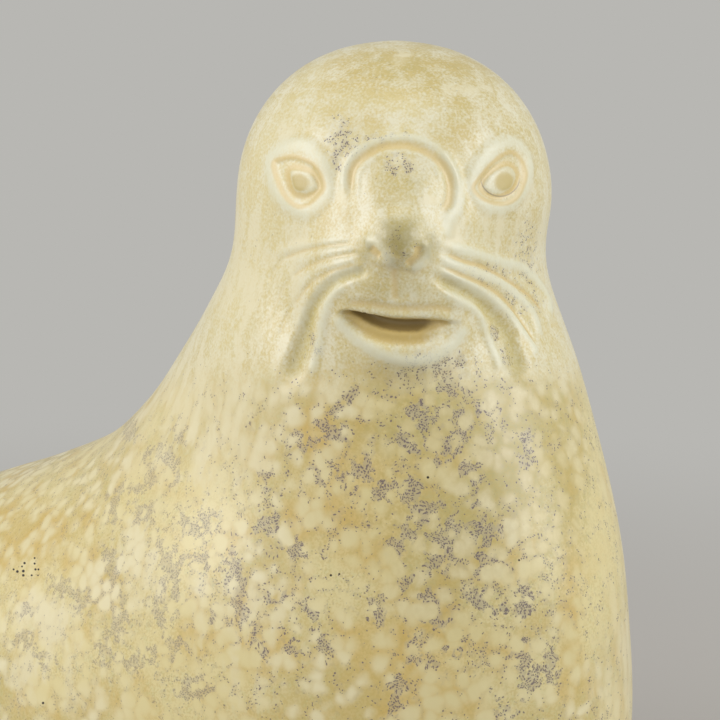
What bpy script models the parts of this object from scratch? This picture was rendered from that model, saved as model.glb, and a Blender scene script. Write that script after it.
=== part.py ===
# A seal figurine, modelled in one piece of glazed stoneware.
# The seal rests on a flat foot at z = 0 with its chest towards -Y and its tail towards +Y, and looks
# over its right shoulder. The main sizes are in metres. The face is a drawing made square from the
# front, from the middle of the head across to the viewer's right, then up. Its unit is a millimetre on
# this head, and grows with the head.

import math

import bmesh
import bpy
import numpy as np
from mathutils import Matrix, Vector
from mathutils.bvhtree import BVHTree

# Main sizes: over the fore flippers, from the chest to the tips of the hind flippers, and up to the
# middle of the head, which is a rounded dome a little squarer than a ball
BODY_WIDTH = 0.166
BODY_LENGTH = 0.338
HEAD_HEIGHT = 0.182
HEAD_RADIUS = 0.0378
HEAD_RISE = 0.0381
HEAD_SQUARENESS = 2.15
HEAD_TURN = math.radians(50)
FACE_LIFT = math.radians(10)
CROWN_TOP = math.radians(88)
DRAWN_RADIUS = 37.8
UNIT = HEAD_RADIUS / DRAWN_RADIUS

# The body is drawn in millimetres at the main sizes above, and stretches across, along and up with them
DRAWN_BODY = (166.0, 338.0, 182.0)
STRETCH = np.array((BODY_WIDTH, BODY_LENGTH, HEAD_HEIGHT)) / DRAWN_BODY

# Body: each section is an ellipse that spans from the back line to the belly line
#    back y, z      belly y, z      half width
SECTIONS = [
    ((244.0, 10.0), (244.0, -4.0), 13.0),
    ((230.0, 33.0), (232.0, -8.0), 25.0),
    ((195.0, 67.0), (200.0, -9.0), 42.0),
    ((149.0, 92.5), (152.0, -10.0), 55.0),
    ((108.5, 107.5), (94.0, -10.0), 61.0),
    ((81.5, 119.5), (22.0, -10.5), 62.0),
    ((65.5, 133.5), (-51.0, 26.0), 58.0),
    ((56.5, 146.0), (-60.5, 84.5), 48.0),
    ((45.5, 159.0), (-47.5, 134.0), 44.0),
    ((38.5, 170.0), (-35.5, 165.5), 38.5),
]

# Fore flippers: middle x, y, z, then half breadth and half thickness of the paddle
FORE_FLIPPER = [
    ((40.0, -18.0, 50.0), 19.0, 15.0),
    ((53.0, -11.0, 28.0), 20.0, 12.0),
    ((61.0, 3.0, 12.0), 20.5, 8.5),
    ((66.5, 21.0, 5.0), 18.5, 6.0),
    ((71.0, 39.0, 3.0), 13.5, 4.5),
    ((73.5, 50.0, 2.0), 6.0, 3.0),
]

# Hind flippers, laid side by side behind the tail
HIND_FLIPPER = [
    ((7.0, 220.0, 11.0), 11.0, 12.0),
    ((12.0, 238.0, 6.0), 12.5, 8.5),
    ((17.5, 254.0, 3.5), 15.0, 6.0),
    ((22.5, 268.0, 2.5), 15.0, 4.5),
    ((25.5, 277.0, 2.0), 8.0, 3.0),
]

# The part of the head that the drawing covers: least out, farthest across, lowest and highest
FACE_PATCH = (4.0, 40.0, -48.0, 17.0)

# Swellings of the head: middle across and up, reach across and up, and lift
SWELLINGS = [
    (0.8, -18.5, 30.0, 27.0, 8.8),  # muzzle
    (0.8, -11.5, 12.0, 9.0, 4.0),  # nose
    (0.8, 2.0, 15.0, 15.0, 2.5),  # bridge of the nose
    (0.8, -37.0, 17.0, 10.0, 1.2),  # chin
    (-13.0, -20.0, 15.0, 13.0, 1.8),  # whisker pads
    (15.0, -21.0, 15.0, 13.0, 1.8),
]
FULL_SWELLING = 0.4

# Lines of the face, as half width, height (below zero for a cut line) and points
SOFT_RIDGE = (1.5, 0.42)
SOFT_CUT = (1.0, -0.50)
FAINT_CUT = (1.0, -0.25)
RIDGE = (1.8, 0.60)
CUT = (1.1, -0.60)
LEFT_FURROW = (2.2, -1.30)
RIGHT_FURROW = (2.6, -1.30)
LEFT_HOLLOW = (3.6, -0.45)
RIGHT_HOLLOW = (4.2, -0.50)
WHISKERS = [
    (SOFT_RIDGE, [(-10.0, -10.9), (-14.9, -11.2), (-20.1, -11.8), (-24.2, -12.5), (-27.5, -13.4)]),
    (SOFT_CUT, [(-10.2, -11.8), (-16.5, -12.4), (-21.6, -13.3), (-25.6, -14.7)]),
    (SOFT_RIDGE, [(-10.0, -13.0), (-16.5, -13.8), (-23.0, -15.6)]),
    (SOFT_CUT, [(-8.9, -14.0), (-15.2, -15.1), (-20.3, -16.9), (-23.7, -18.9)]),
    (SOFT_RIDGE, [(-8.9, -15.5), (-15.2, -16.6), (-19.0, -18.3), (-22.0, -21.1)]),
    (SOFT_CUT, [(-8.9, -16.4), (-13.9, -17.7), (-18.5, -20.0), (-21.1, -22.5), (-23.4, -25.5)]),
    (SOFT_RIDGE, [(-7.4, -17.4), (-12.7, -18.7), (-17.0, -21.6), (-19.9, -25.4), (-22.3, -31.1)]),
    (LEFT_FURROW, [(-6.4, -18.0), (-10.2, -18.7), (-13.9, -20.2), (-17.0, -23.1), (-19.3, -26.6),
                   (-20.4, -31.4), (-21.8, -36.4), (-24.2, -42.0)]),
    (SOFT_RIDGE, [(-11.5, -20.9), (-14.5, -23.7), (-16.5, -28.9), (-17.5, -34.6), (-19.5, -41.6)]),
    (FAINT_CUT, [(-25.6, -14.7), (-27.9, -17.4), (-29.0, -20.0)]),
    (FAINT_CUT, [(-23.7, -18.9), (-26.1, -22.3), (-27.9, -26.0), (-30.1, -30.2)]),
    (FAINT_CUT, [(-23.4, -25.5), (-25.3, -28.9), (-26.5, -32.5)]),
    (LEFT_HOLLOW, [(-20.3, -31.0), (-21.3, -35.5), (-23.2, -40.0)]),
    (RIDGE, [(10.6, -12.0), (16.8, -13.6), (23.7, -15.3), (29.4, -16.6), (33.0, -19.2),
             (35.4, -21.7), (36.7, -24.7), (36.1, -27.5)]),
    (CUT, [(10.9, -14.0), (15.4, -15.7), (19.5, -16.6), (23.7, -18.5), (30.8, -22.5),
           (34.9, -26.7)]),
    (RIDGE, [(9.1, -15.1), (14.1, -16.8), (19.5, -18.7), (24.2, -20.3), (28.8, -23.6),
             (32.2, -27.3), (34.0, -33.2)]),
    (CUT, [(10.1, -17.1), (16.7, -19.6), (20.9, -21.2), (25.1, -24.0), (28.7, -28.4),
           (33.1, -35.0)]),
    (RIDGE, [(8.0, -17.4), (14.1, -19.6), (18.1, -21.8), (22.5, -24.3), (26.5, -27.7),
             (29.2, -31.1), (31.9, -34.8), (32.2, -36.9)]),
    (RIGHT_FURROW, [(9.1, -19.5), (14.1, -22.0), (18.1, -23.9), (20.9, -26.2), (23.7, -29.0),
                    (25.9, -32.2), (27.4, -36.1), (29.0, -39.8)]),
    (RIDGE, [(10.1, -22.5), (15.4, -25.0), (18.7, -27.0), (20.3, -30.9), (22.5, -36.1),
             (24.1, -40.9)]),
    (RIGHT_HOLLOW, [(24.7, -30.7), (26.8, -34.0), (28.3, -37.6)]),
]
BROW = [
    ((1.8, 0.45), [(-11.8, -5.3), (-11.8, 0.4), (-11.1, 5.9), (-8.3, 9.5), (-3.4, 11.6), (0.9, 12.3),
                   (5.1, 11.8), (9.2, 9.8), (12.2, 5.9), (14.1, 1.3)]),
    ((2.4, 0.30), [(-11.5, -10.0), (-11.8, -5.3), (-11.8, 0.4), (-11.1, 5.9)]),
    ((2.8, 0.40), [(9.2, 9.8), (12.2, 5.9), (14.1, 1.3), (13.8, -3.3), (11.6, -6.9), (10.9, -11.0)]),
    ((1.6, -0.55), [(-9.9, -3.0), (-10.1, 3.5), (-9.2, 6.0), (-6.9, 8.1), (-3.4, 10.0), (0.0, 10.3),
                    (2.8, 10.3), (6.9, 8.8), (10.6, 5.8), (12.1, 2.4), (11.9, -2.3), (10.0, -4.9)]),
    ((1.4, 0.25), [(-9.0, -2.0), (-8.4, 4.4), (-3.4, 8.3), (1.7, 9.2), (8.0, 6.9), (10.6, 1.2)]),
]
EYELIDS = [
    ((2.9, 0.35), [(-28.9, 8.1), (-25.6, 10.7), (-21.2, 11.0), (-17.7, 8.3), (-15.4, 3.7),
                   (-15.9, -0.8), (-20.2, -4.4), (-25.3, -2.3), (-28.1, 2.0)]),
    ((2.9, 0.50), [(17.2, 2.4), (19.1, 6.6), (22.7, 10.7), (27.0, 12.2), (30.4, 9.6), (30.9, 5.0),
                   (28.8, 0.0), (24.5, -3.2), (20.0, -2.5)]),
]

# Closed shapes of the face, as edge width, height and outline
EYE_SOCKET = (1.0, -0.45)
EYEBALL = (1.2, 0.50)
EYES = [
    (EYE_SOCKET, [(-27.9, 6.8), (-25.6, 8.2), (-22.8, 8.3), (-19.3, 6.8), (-17.0, 4.0), (-16.5, 0.3),
                  (-21.4, -3.1), (-25.5, 0.0)]),
    (EYE_SOCKET, [(17.4, 0.8), (18.6, 3.0), (21.9, 6.8), (26.1, 9.7), (28.9, 8.1), (29.7, 4.4),
                  (27.8, -0.3), (24.4, -2.2), (20.0, -1.6)]),
    (EYEBALL, [(-24.6, 5.5), (-22.5, 6.0), (-18.8, 4.5), (-17.2, 0.9), (-20.2, -0.7), (-23.4, 0.1),
               (-24.6, 2.9)]),
    (EYEBALL, [(19.3, 1.1), (21.1, 4.5), (25.3, 7.0), (27.6, 6.1), (28.3, 4.0), (26.9, 0.9),
               (22.7, -0.9)]),
]
NOSE = [
    ((1.6, -0.90), [(-5.8, -12.8), (-4.8, -13.9), (-3.7, -14.8)]),
    ((1.6, -0.90), [(4.9, -12.5), (4.7, -14.5), (3.4, -15.9), (2.4, -16.8)]),
    ((2.0, 0.35), [(-7.0, -11.2), (-5.4, -11.4), (-3.6, -12.6), (-2.1, -14.6), (-0.3, -16.4)]),
    ((2.0, 0.35), [(6.6, -11.5), (6.9, -14.4), (5.4, -16.6), (3.2, -17.9)]),
    ((1.0, -0.30), [(-6.6, -16.2), (-3.4, -17.4), (-0.4, -17.7), (3.3, -18.4), (6.0, -17.8), (8.2, -16.6)]),
    ((1.5, -0.55), [(-0.5, -17.7), (-0.4, -19.6), (-0.4, -22.3), (-0.3, -24.6)]),
]
LIPS = [
    ((2.3, 0.60), [(-14.2, -27.6), (-12.2, -30.1), (-9.4, -32.5), (-5.9, -34.6), (-1.7, -36.3),
                   (2.6, -37.2), (7.3, -36.6), (11.0, -34.7), (13.5, -32.5), (16.3, -29.4)]),
    ((1.6, -0.30), [(-11.3, -25.2), (-5.9, -25.5), (0.9, -26.4), (8.6, -26.2), (13.2, -26.9)]),
    ((4.0, -0.35), [(-13.0, -38.6), (-5.0, -41.5), (2.2, -42.3), (9.5, -41.5), (16.0, -38.6)]),
]
MOUTH_DEPTH = 3.8
MOUTH_FULL_DEPTH_HEIGHT = 4.5
MOUTH_SLIT = (0.20, 0.62, 0.34)
MOUTH_SHELF = 0.40
MOUTH_RIM = 0.32
MOUTH_SHALLOW = (4.5, 6.0, 0.55)
MOUTH_TOP = [(-13.8, -27.5), (-11.5, -26.8), (-9.4, -27.0), (-4.3, -27.8), (-0.4, -28.2), (4.7, -28.4),
             (10.0, -28.7), (13.9, -29.4), (16.3, -29.1)]
MOUTH_BOTTOM = [(-13.8, -27.5), (-11.5, -29.6), (-8.6, -32.1), (-4.8, -34.2), (0.9, -35.1),
                (6.4, -34.6), (11.0, -32.6), (13.5, -30.7), (16.3, -29.1)]
LINE_FADE = 0.12
LINE_END = 0.3

# Toe grooves pressed into the flippers from above: x, y for the left side
TOE_GROOVE = (1.8, -0.9)
FORE_TOES = [
    [(62.0, 10.0), (65.5, 28.0), (69.0, 44.0)],
    [(69.0, 8.0), (73.0, 24.0), (74.5, 40.0)],
    [(55.5, 17.0), (59.0, 30.0), (64.0, 43.0)],
]
HIND_TOES = [
    [(14.0, 246.0), (19.0, 260.0), (23.0, 273.0)],
    [(21.0, 244.0), (27.0, 256.0), (31.0, 268.0)],
    [(9.0, 250.0), (12.0, 262.0), (16.0, 272.0)],
]

# Fineness of the skin
RING_POINTS = 64
RINGS_PER_SECTION = 5
CROWN_RINGS = 14
SKIN_VOXEL = 0.0022
SKIN_SMOOTHING = 14
FACE_CUTS = 3
FLIPPER_CUTS = 1
CURVE_STEPS = 6
MOST_TRIANGLES = 11500

GLAZE_COLOUR = (0.70, 0.63, 0.40, 1.0)
GLAZE_ROUGHNESS = 0.32


def clear_scene():
    for obj in list(bpy.data.objects):
        bpy.data.objects.remove(obj, do_unlink=True)


def smooth_rows(rows, steps, closed=False):
    """Rows of numbers, with steps - 1 more between each two along a smooth curve."""
    rows = [np.array(row, float) for row in rows]
    if closed:
        rows = rows[-1:] + rows + rows[:2]
    else:
        rows = [2 * rows[0] - rows[1]] + rows + [2 * rows[-1] - rows[-2]]
    found = []
    for before, start, end, after in zip(rows, rows[1:], rows[2:], rows[3:]):
        for step in range(steps):
            t = step / steps
            bend = (2 * before - 5 * start + 4 * end - after) * t**2
            twist = (3 * start - before - 3 * end + after) * t**3
            found.append((2 * start + (end - before) * t + bend + twist) / 2)
    return found + [rows[-2]]


def smooth_step(value):
    value = np.clip(value, 0, 1)
    return value * value * (3 - 2 * value)


def loft(bm, ellipses):
    """Skins a row of ellipses, each given by its middle and its two half axes, and closes both ends."""
    loops = []
    for middle, side, rise in ellipses:
        place = Matrix.Identity(4)
        for column, axis in enumerate((side, rise, side.cross(rise).normalized(), middle)):
            for row in range(3):
                place[row][column] = axis[row]
        made = bmesh.ops.create_circle(bm, segments=RING_POINTS, radius=1.0, matrix=place)
        loops.append(list({edge for vert in made["verts"] for edge in vert.link_edges}))
    for lower, upper in zip(loops, loops[1:]):
        bmesh.ops.bridge_loops(bm, edges=lower + upper)
    for end in (loops[0], loops[-1]):
        bmesh.ops.contextual_create(bm, geom=end)


def trunk_ellipses():
    """From the tail along the back and up the neck, then over the crown of the head."""
    wide, along, tall = STRETCH
    rows = []
    for (back_y, back_z), (belly_y, belly_z), half_width in SECTIONS:
        rows.append((back_y * along, back_z * tall, belly_y * along, belly_z * tall, half_width * wide))
    rows.append((HEAD_RADIUS, HEAD_HEIGHT, -HEAD_RADIUS, HEAD_HEIGHT, HEAD_RADIUS))
    rows = smooth_rows(rows, RINGS_PER_SECTION)
    for step in range(1, CROWN_RINGS + 1):
        angle = CROWN_TOP * step / CROWN_RINGS
        rise = math.sin(angle) ** (2 / HEAD_SQUARENESS)
        radius = HEAD_RADIUS * math.cos(angle) ** (2 / HEAD_SQUARENESS)
        height = HEAD_HEIGHT + HEAD_RISE * rise
        rows.append((radius, height, -radius, height, radius))
    for back_y, back_z, belly_y, belly_z, half_width in rows:
        middle = Vector((0, back_y + belly_y, back_z + belly_z)) / 2
        rise = Vector((0, back_y - belly_y, back_z - belly_z)) / 2
        yield middle, Vector((half_width, 0, 0)), rise


def flipper_ellipses(stations, side):
    """A paddle whose sections stand square to the line through their middles."""
    wide, _, tall = STRETCH
    rows = []
    for middle, breadth, thickness in stations:
        rows.append((*(STRETCH * middle), breadth * wide, thickness * tall))
    rows = smooth_rows(rows, RINGS_PER_SECTION)
    middles = [Vector((side * row[0], row[1], row[2])) for row in rows]
    for index, row in enumerate(rows):
        ahead = middles[min(index + 1, len(rows) - 1)] - middles[max(index - 1, 0)]
        flat = Vector((ahead.y, -ahead.x, 0)).normalized()
        yield middles[index], flat * row[3], ahead.cross(flat).normalized() * row[4]


def mesh_object(name, bm):
    mesh = bpy.data.meshes.new(name)
    bm.to_mesh(mesh)
    bm.free()
    return bpy.data.objects.new(name, mesh)


def with_modifier(bm, kind, **settings):
    """The mesh after one modifier."""
    obj = mesh_object("work", bm)
    bpy.context.scene.collection.objects.link(obj)
    modifier = obj.modifiers.new("work", kind)
    for key, value in settings.items():
        setattr(modifier, key, value)
    graph = bpy.context.evaluated_depsgraph_get()
    mesh = bpy.data.meshes.new_from_object(obj.evaluated_get(graph))
    found = bmesh.new()
    found.from_mesh(mesh)
    bpy.data.objects.remove(obj, do_unlink=True)
    bpy.data.meshes.remove(mesh)
    return found


def fused_skin():
    """The trunk and the four flippers grown into one smooth closed skin."""
    bm = bmesh.new()
    loft(bm, trunk_ellipses())
    for side in (-1, 1):
        loft(bm, flipper_ellipses(FORE_FLIPPER, side))
        loft(bm, flipper_ellipses(HIND_FLIPPER, side))
    bmesh.ops.recalc_face_normals(bm, faces=bm.faces)
    bm = with_modifier(bm, "REMESH", mode="VOXEL", voxel_size=SKIN_VOXEL, adaptivity=0)
    for _ in range(SKIN_SMOOTHING):
        bmesh.ops.smooth_vert(
            bm, verts=bm.verts, factor=0.5, use_axis_x=True, use_axis_y=True, use_axis_z=True
        )
    return bm


def face_axes():
    """The drawing's directions: across to the viewer's right, up, and out towards the viewer."""
    level = Vector((-math.sin(HEAD_TURN), -math.cos(HEAD_TURN), 0))
    outward = level * math.cos(FACE_LIFT) + Vector((0, 0, math.sin(FACE_LIFT)))
    across = Vector((math.cos(HEAD_TURN), -math.sin(HEAD_TURN), 0))
    return across, outward.cross(across), outward


def on_drawing(places):
    """Places in the drawing's units: across, up and out from the middle of the head."""
    return (places - (0, 0, HEAD_HEIGHT)) @ np.array(face_axes()).T / UNIT


def places_of(verts):
    return np.array([vert.co[:] for vert in verts])


def swell_face(bm):
    """The muzzle, nose and chin grow out of the round head."""
    across, up, out = on_drawing(places_of(bm.verts)).T
    lift = np.zeros(len(across))
    for middle_across, middle_up, reach_across, reach_up, height in SWELLINGS:
        reach = ((across - middle_across) / reach_across) ** 2 + ((up - middle_up) / reach_up) ** 2
        lift += height * np.clip(1 - reach, 0, 1) ** 2
    lift *= smooth_step(out / DRAWN_RADIUS / FULL_SWELLING)
    outward = face_axes()[2]
    for vert, height in zip(bm.verts, lift):
        vert.co += outward * (float(height) * UNIT)


def near_face(verts):
    """Whether each vertex lies on the part of the head that the drawing covers."""
    across, up, out = on_drawing(places_of(verts)).T
    nearest, farthest, lowest, highest = FACE_PATCH
    return (out > nearest) & (np.abs(across) < farthest) & (up > lowest) & (up < highest)


def near_flippers(verts):
    """Whether each vertex lies on a flipper, outside the body."""
    x, y, z = np.abs(places_of(verts) / STRETCH).T
    fore = (x > FORE_FLIPPER[1][0][0]) & (y < FORE_FLIPPER[-1][0][1]) & (z < FORE_FLIPPER[1][0][2])
    hind = y > HIND_FLIPPER[1][0][1]
    return fore | hind


def refine(bm, near, cuts):
    chosen = near(bm.verts)
    bm.verts.index_update()
    edges = [edge for edge in bm.edges if all(chosen[vert.index] for vert in edge.verts)]
    bmesh.ops.subdivide_edges(bm, edges=edges, cuts=cuts, use_grid_fill=True)


def cast(tree, starts, way):
    """Where lines from the starts first meet the skin, or the skin nearest the end of one that misses."""
    found = []
    for start in starts:
        hit = tree.ray_cast(start, way)[0]
        found.append(hit or tree.find_nearest(start + way)[0])
    return np.array([place[:] for place in found])


def distance_to_line(places, line):
    """Each place's distance to a line of points, and how far along it the nearest spot lies, 0 to 1."""
    best = np.full(len(places), np.inf)
    along = np.zeros(len(places))
    for index, (start, end) in enumerate(zip(line, line[1:])):
        step = end - start
        share = np.clip((places - start) @ step / max(step @ step, 1e-12), 0, 1)
        gap = np.linalg.norm(places - start - share[:, None] * step, axis=1)
        closer = gap < best
        best[closer] = gap[closer]
        along[closer] = (index + share[closer]) / (len(line) - 1)
    return best, along


def line_relief(places, line, half_width, height, closed=False):
    """A rounded ridge or groove along the line, which fades out at the ends of an open line."""
    gap, along = distance_to_line(places, line)
    relief = height * np.clip(1 - (gap / (half_width * UNIT)) ** 2, 0, 1) ** 2
    if not closed:
        relief *= smooth_step(LINE_END + np.minimum(along, 1 - along) / LINE_FADE)
    return relief


def inside(points, outline):
    """Whether each drawn point lies inside a closed outline, by counting crossings."""
    found = np.zeros(len(points), bool)
    x, y = points[:, 0], points[:, 1]
    for (x0, y0), (x1, y1) in zip(outline, outline[1:] + outline[:1]):
        spans = (y0 > y) != (y1 > y)
        slope = (x1 - x0) / (y1 - y0 if y1 != y0 else 1e-9)
        found ^= spans & (x < x0 + slope * (y - y0))
    return found


def face_relief(tree, places):
    """How far the skin rises or sinks at each place of the face, in the drawing's units."""
    across, up, out = face_axes()
    head = Vector((0, 0, HEAD_HEIGHT))

    def on_skin(points, closed=False):
        rows = smooth_rows(points, CURVE_STEPS, closed)
        way = -3 * HEAD_RADIUS * out
        starts = [head + across * (u * UNIT) + up * (v * UNIT) - way for u, v in rows]
        return cast(tree, starts, way)

    relief = np.zeros(len(places))
    for (half_width, height), points in WHISKERS + BROW + NOSE + LIPS:
        relief += line_relief(places, on_skin(points), half_width, height)
    for (half_width, height), points in EYELIDS:
        relief += line_relief(places, on_skin(points, True), half_width, height, True)
    drawn = on_drawing(places)[:, :2]
    for (edge, height), outline in EYES:
        rows = smooth_rows(outline, CURVE_STEPS, True)
        gap = distance_to_line(drawn, rows)[0]
        relief += height * inside(drawn, [tuple(row) for row in rows]) * smooth_step(gap / edge)
    return relief - mouth_depth(drawn)


def mouth_depth(drawn):
    """The open mouth: a deep slit under the upper lip above a shelf inside the lower lip."""
    top = smooth_rows(MOUTH_TOP, CURVE_STEPS)
    bottom = smooth_rows(MOUTH_BOTTOM, CURVE_STEPS)
    below = distance_to_line(drawn, top)[0]
    above = distance_to_line(drawn, bottom)[0]
    share = below / (below + above + 1e-9)
    edge, end, slope = MOUTH_SLIT
    slit = MOUTH_SHELF + (1 - MOUTH_SHELF) * smooth_step((end - share) / slope)
    depth = slit * smooth_step(share / edge) * smooth_step((1 - share) / MOUTH_RIM)
    depth *= smooth_step((below + above) / MOUTH_FULL_DEPTH_HEIGHT)
    start, length, loss = MOUTH_SHALLOW
    depth *= 1 - loss * smooth_step((drawn[:, 0] - start) / length)
    return MOUTH_DEPTH * depth * inside(drawn, [tuple(row) for row in top + bottom[::-1]])


def toe_relief(tree, places):
    relief = np.zeros(len(places))
    for side in (-1, 1):
        for points in FORE_TOES + HIND_TOES:
            above = FORE_FLIPPER[1][0][2]
            rows = [STRETCH * (side * x, y, above) for x, y in smooth_rows(points, CURVE_STEPS)]
            starts = [Vector(row) for row in rows]
            line = cast(tree, starts, Vector((0, 0, -above * STRETCH[2])))
            relief += line_relief(places, line, *TOE_GROOVE)
    return relief


def carve(bm, near, relief_of):
    """Moves the skin in or out along its normals by a relief."""
    tree = BVHTree.FromBMesh(bm)
    bm.normal_update()
    verts = [vert for vert, chosen in zip(bm.verts, near(bm.verts)) if chosen]
    moves = [vert.normal.copy() for vert in verts]
    for vert, normal, height in zip(verts, moves, relief_of(tree, places_of(verts))):
        vert.co += normal * (float(height) * UNIT)


def stand_on_foot(bm):
    """Cuts the skin flat at z = 0, closes it there and centres it over the origin."""
    cut = bmesh.ops.bisect_plane(
        bm,
        geom=bm.verts[:] + bm.edges[:] + bm.faces[:],
        plane_co=(0, 0, 0),
        plane_no=(0, 0, 1),
        clear_inner=True,
    )
    rim = [item for item in cut["geom_cut"] if isinstance(item, bmesh.types.BMEdge)]
    bmesh.ops.triangle_fill(bm, edges=rim, use_beauty=True, normal=(0, 0, -1))
    bmesh.ops.recalc_face_normals(bm, faces=bm.faces)
    places = places_of(bm.verts)
    middle = (places.min(axis=0) + places.max(axis=0)) / 2
    bmesh.ops.translate(bm, verts=bm.verts, vec=(-middle[0], -middle[1], 0))


def glaze():
    material = bpy.data.materials.new("glazed_stoneware")
    material.use_nodes = True
    shader = material.node_tree.nodes["Principled BSDF"]
    shader.inputs["Base Color"].default_value = GLAZE_COLOUR
    shader.inputs["Roughness"].default_value = GLAZE_ROUGHNESS
    shader.inputs["Metallic"].default_value = 0.0
    return material


def main():
    clear_scene()
    bm = fused_skin()
    swell_face(bm)
    refine(bm, near_face, FACE_CUTS)
    refine(bm, near_flippers, FLIPPER_CUTS)
    carve(bm, near_face, face_relief)
    carve(bm, near_flippers, toe_relief)
    bmesh.ops.triangulate(bm, faces=bm.faces)
    bm = with_modifier(bm, "DECIMATE", ratio=MOST_TRIANGLES / len(bm.faces))
    stand_on_foot(bm)
    print("solid of", len(bm.faces), "faces,", round(bm.calc_volume() * 1e6), "cubic centimetres")
    seal = mesh_object("seal", bm)
    seal.data.shade_smooth()
    seal.data.materials.append(glaze())
    collection = bpy.data.collections.new("seal_figurine")
    bpy.context.scene.collection.children.link(collection)
    collection.objects.link(seal)


main()
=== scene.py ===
import math

import bmesh
import bpy
import numpy as np
from mathutils import Matrix, Vector, noise
from mathutils.bvhtree import BVHTree


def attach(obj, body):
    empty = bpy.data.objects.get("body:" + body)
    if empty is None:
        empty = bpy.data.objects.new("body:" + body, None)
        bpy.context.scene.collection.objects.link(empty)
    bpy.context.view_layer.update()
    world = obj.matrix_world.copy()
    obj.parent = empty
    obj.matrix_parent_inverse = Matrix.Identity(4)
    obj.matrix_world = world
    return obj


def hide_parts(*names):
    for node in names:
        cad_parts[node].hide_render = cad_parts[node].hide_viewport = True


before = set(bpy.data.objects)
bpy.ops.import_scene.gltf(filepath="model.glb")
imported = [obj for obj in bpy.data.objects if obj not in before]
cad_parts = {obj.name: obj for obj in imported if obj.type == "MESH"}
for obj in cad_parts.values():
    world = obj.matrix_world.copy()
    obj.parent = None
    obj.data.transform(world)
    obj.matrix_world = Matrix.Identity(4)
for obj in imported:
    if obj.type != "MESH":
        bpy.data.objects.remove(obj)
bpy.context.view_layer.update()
print("frame loaded")


# Small helpers

def smoothStep(value):
    value = np.clip(value, 0, 1)
    return value * value * (3 - 2 * value)


def smoothRows(rows, steps, closed=False):  # a smooth curve through rows of numbers
    rows = [np.array(row, float) for row in rows]
    if closed:
        rows = rows[-1:] + rows + rows[:2]
    else:
        rows = [2 * rows[0] - rows[1]] + rows + [2 * rows[-1] - rows[-2]]
    found = []
    for before, start, end, after in zip(rows, rows[1:], rows[2:], rows[3:]):
        for step in range(steps):
            t = step / steps
            bend = (2 * before - 5 * start + 4 * end - after) * t**2
            twist = (3 * start - before - 3 * end + after) * t**3
            found.append((2 * start + (end - before) * t + bend + twist) / 2)
    return found + [rows[-2]]


def placesOf(verts):
    return np.array([vert.co[:] for vert in verts])


# How the photograph was taken

camera = {
    "distance": 0.700,  # from the head, in metres
    "perPixel": 0.000238,  # metres that one pixel covers at the head
    "headAt": (394.3, 200.5),  # pixel on which the head's middle lies
    "size": 720,
    "sensor": 36,
    "clip": (0.01, 100),
}

# The seal's body: trunk and flippers, in metres, chest towards -Y

sealForm = {
    "headRadius": 0.0378,
    "headRise": 0.0381,
    "headHeight": 0.182,
    "squareness": 2.15,  # 2 is a round crown
    "crownTop": math.radians(88),
    # back y, back z, belly y, belly z, half width, from the tail to the neck
    "sections": [
        (0.244, 0.01, 0.244, -0.004, 0.013),
        (0.23, 0.033, 0.232, -0.008, 0.025),
        (0.195, 0.067, 0.2, -0.009, 0.042),
        (0.149, 0.0925, 0.152, -0.01, 0.055),
        (0.1085, 0.1075, 0.094, -0.01, 0.061),
        (0.0815, 0.1195, 0.022, -0.0105, 0.062),
        (0.0655, 0.1335, -0.051, 0.026, 0.058),
        (0.0565, 0.146, -0.0605, 0.0845, 0.048),
        (0.0455, 0.159, -0.0475, 0.134, 0.044),
        (0.0385, 0.17, -0.0355, 0.1655, 0.0385),
    ],
    # middle x, y, z, half breadth, half thickness
    "foreFlipper": [
        (0.04, -0.018, 0.05, 0.019, 0.015),
        (0.053, -0.011, 0.028, 0.02, 0.012),
        (0.061, 0.003, 0.012, 0.0205, 0.0085),
        (0.0665, 0.021, 0.005, 0.0185, 0.006),
        (0.071, 0.039, 0.003, 0.0135, 0.0045),
        (0.0735, 0.05, 0.002, 0.006, 0.003),
    ],
    "hindFlipper": [
        (0.007, 0.22, 0.011, 0.011, 0.012),
        (0.012, 0.238, 0.006, 0.0125, 0.0085),
        (0.0175, 0.254, 0.0035, 0.015, 0.006),
        (0.0225, 0.268, 0.0025, 0.015, 0.0045),
        (0.0255, 0.277, 0.002, 0.008, 0.003),
    ],
    "ringPoints": 80,
    "ringsPerSection": 6,
    "crownRings": 18,
    "voxel": 0.002,
    "smoothing": 17,
    "faceCuts": 3,  # 4 would take the piece past 200,000 triangles
    "faceSmoothing": 8,
    "flipperCuts": 1,
    "flipperSmoothing": 1,
}


def loft(bm, ellipses):  # skins a row of ellipses and closes both ends
    loops = []
    for middle, side, rise in ellipses:
        place = Matrix.Identity(4)
        for column, axis in enumerate((side, rise, side.cross(rise).normalized(), middle)):
            for row in range(3):
                place[row][column] = axis[row]
        made = bmesh.ops.create_circle(bm, segments=sealForm["ringPoints"], radius=1.0,
                                       matrix=place)
        loops.append(list({edge for vert in made["verts"] for edge in vert.link_edges}))
    for lower, upper in zip(loops, loops[1:]):
        bmesh.ops.bridge_loops(bm, edges=lower + upper)
    for end in (loops[0], loops[-1]):
        bmesh.ops.contextual_create(bm, geom=end)


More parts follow.
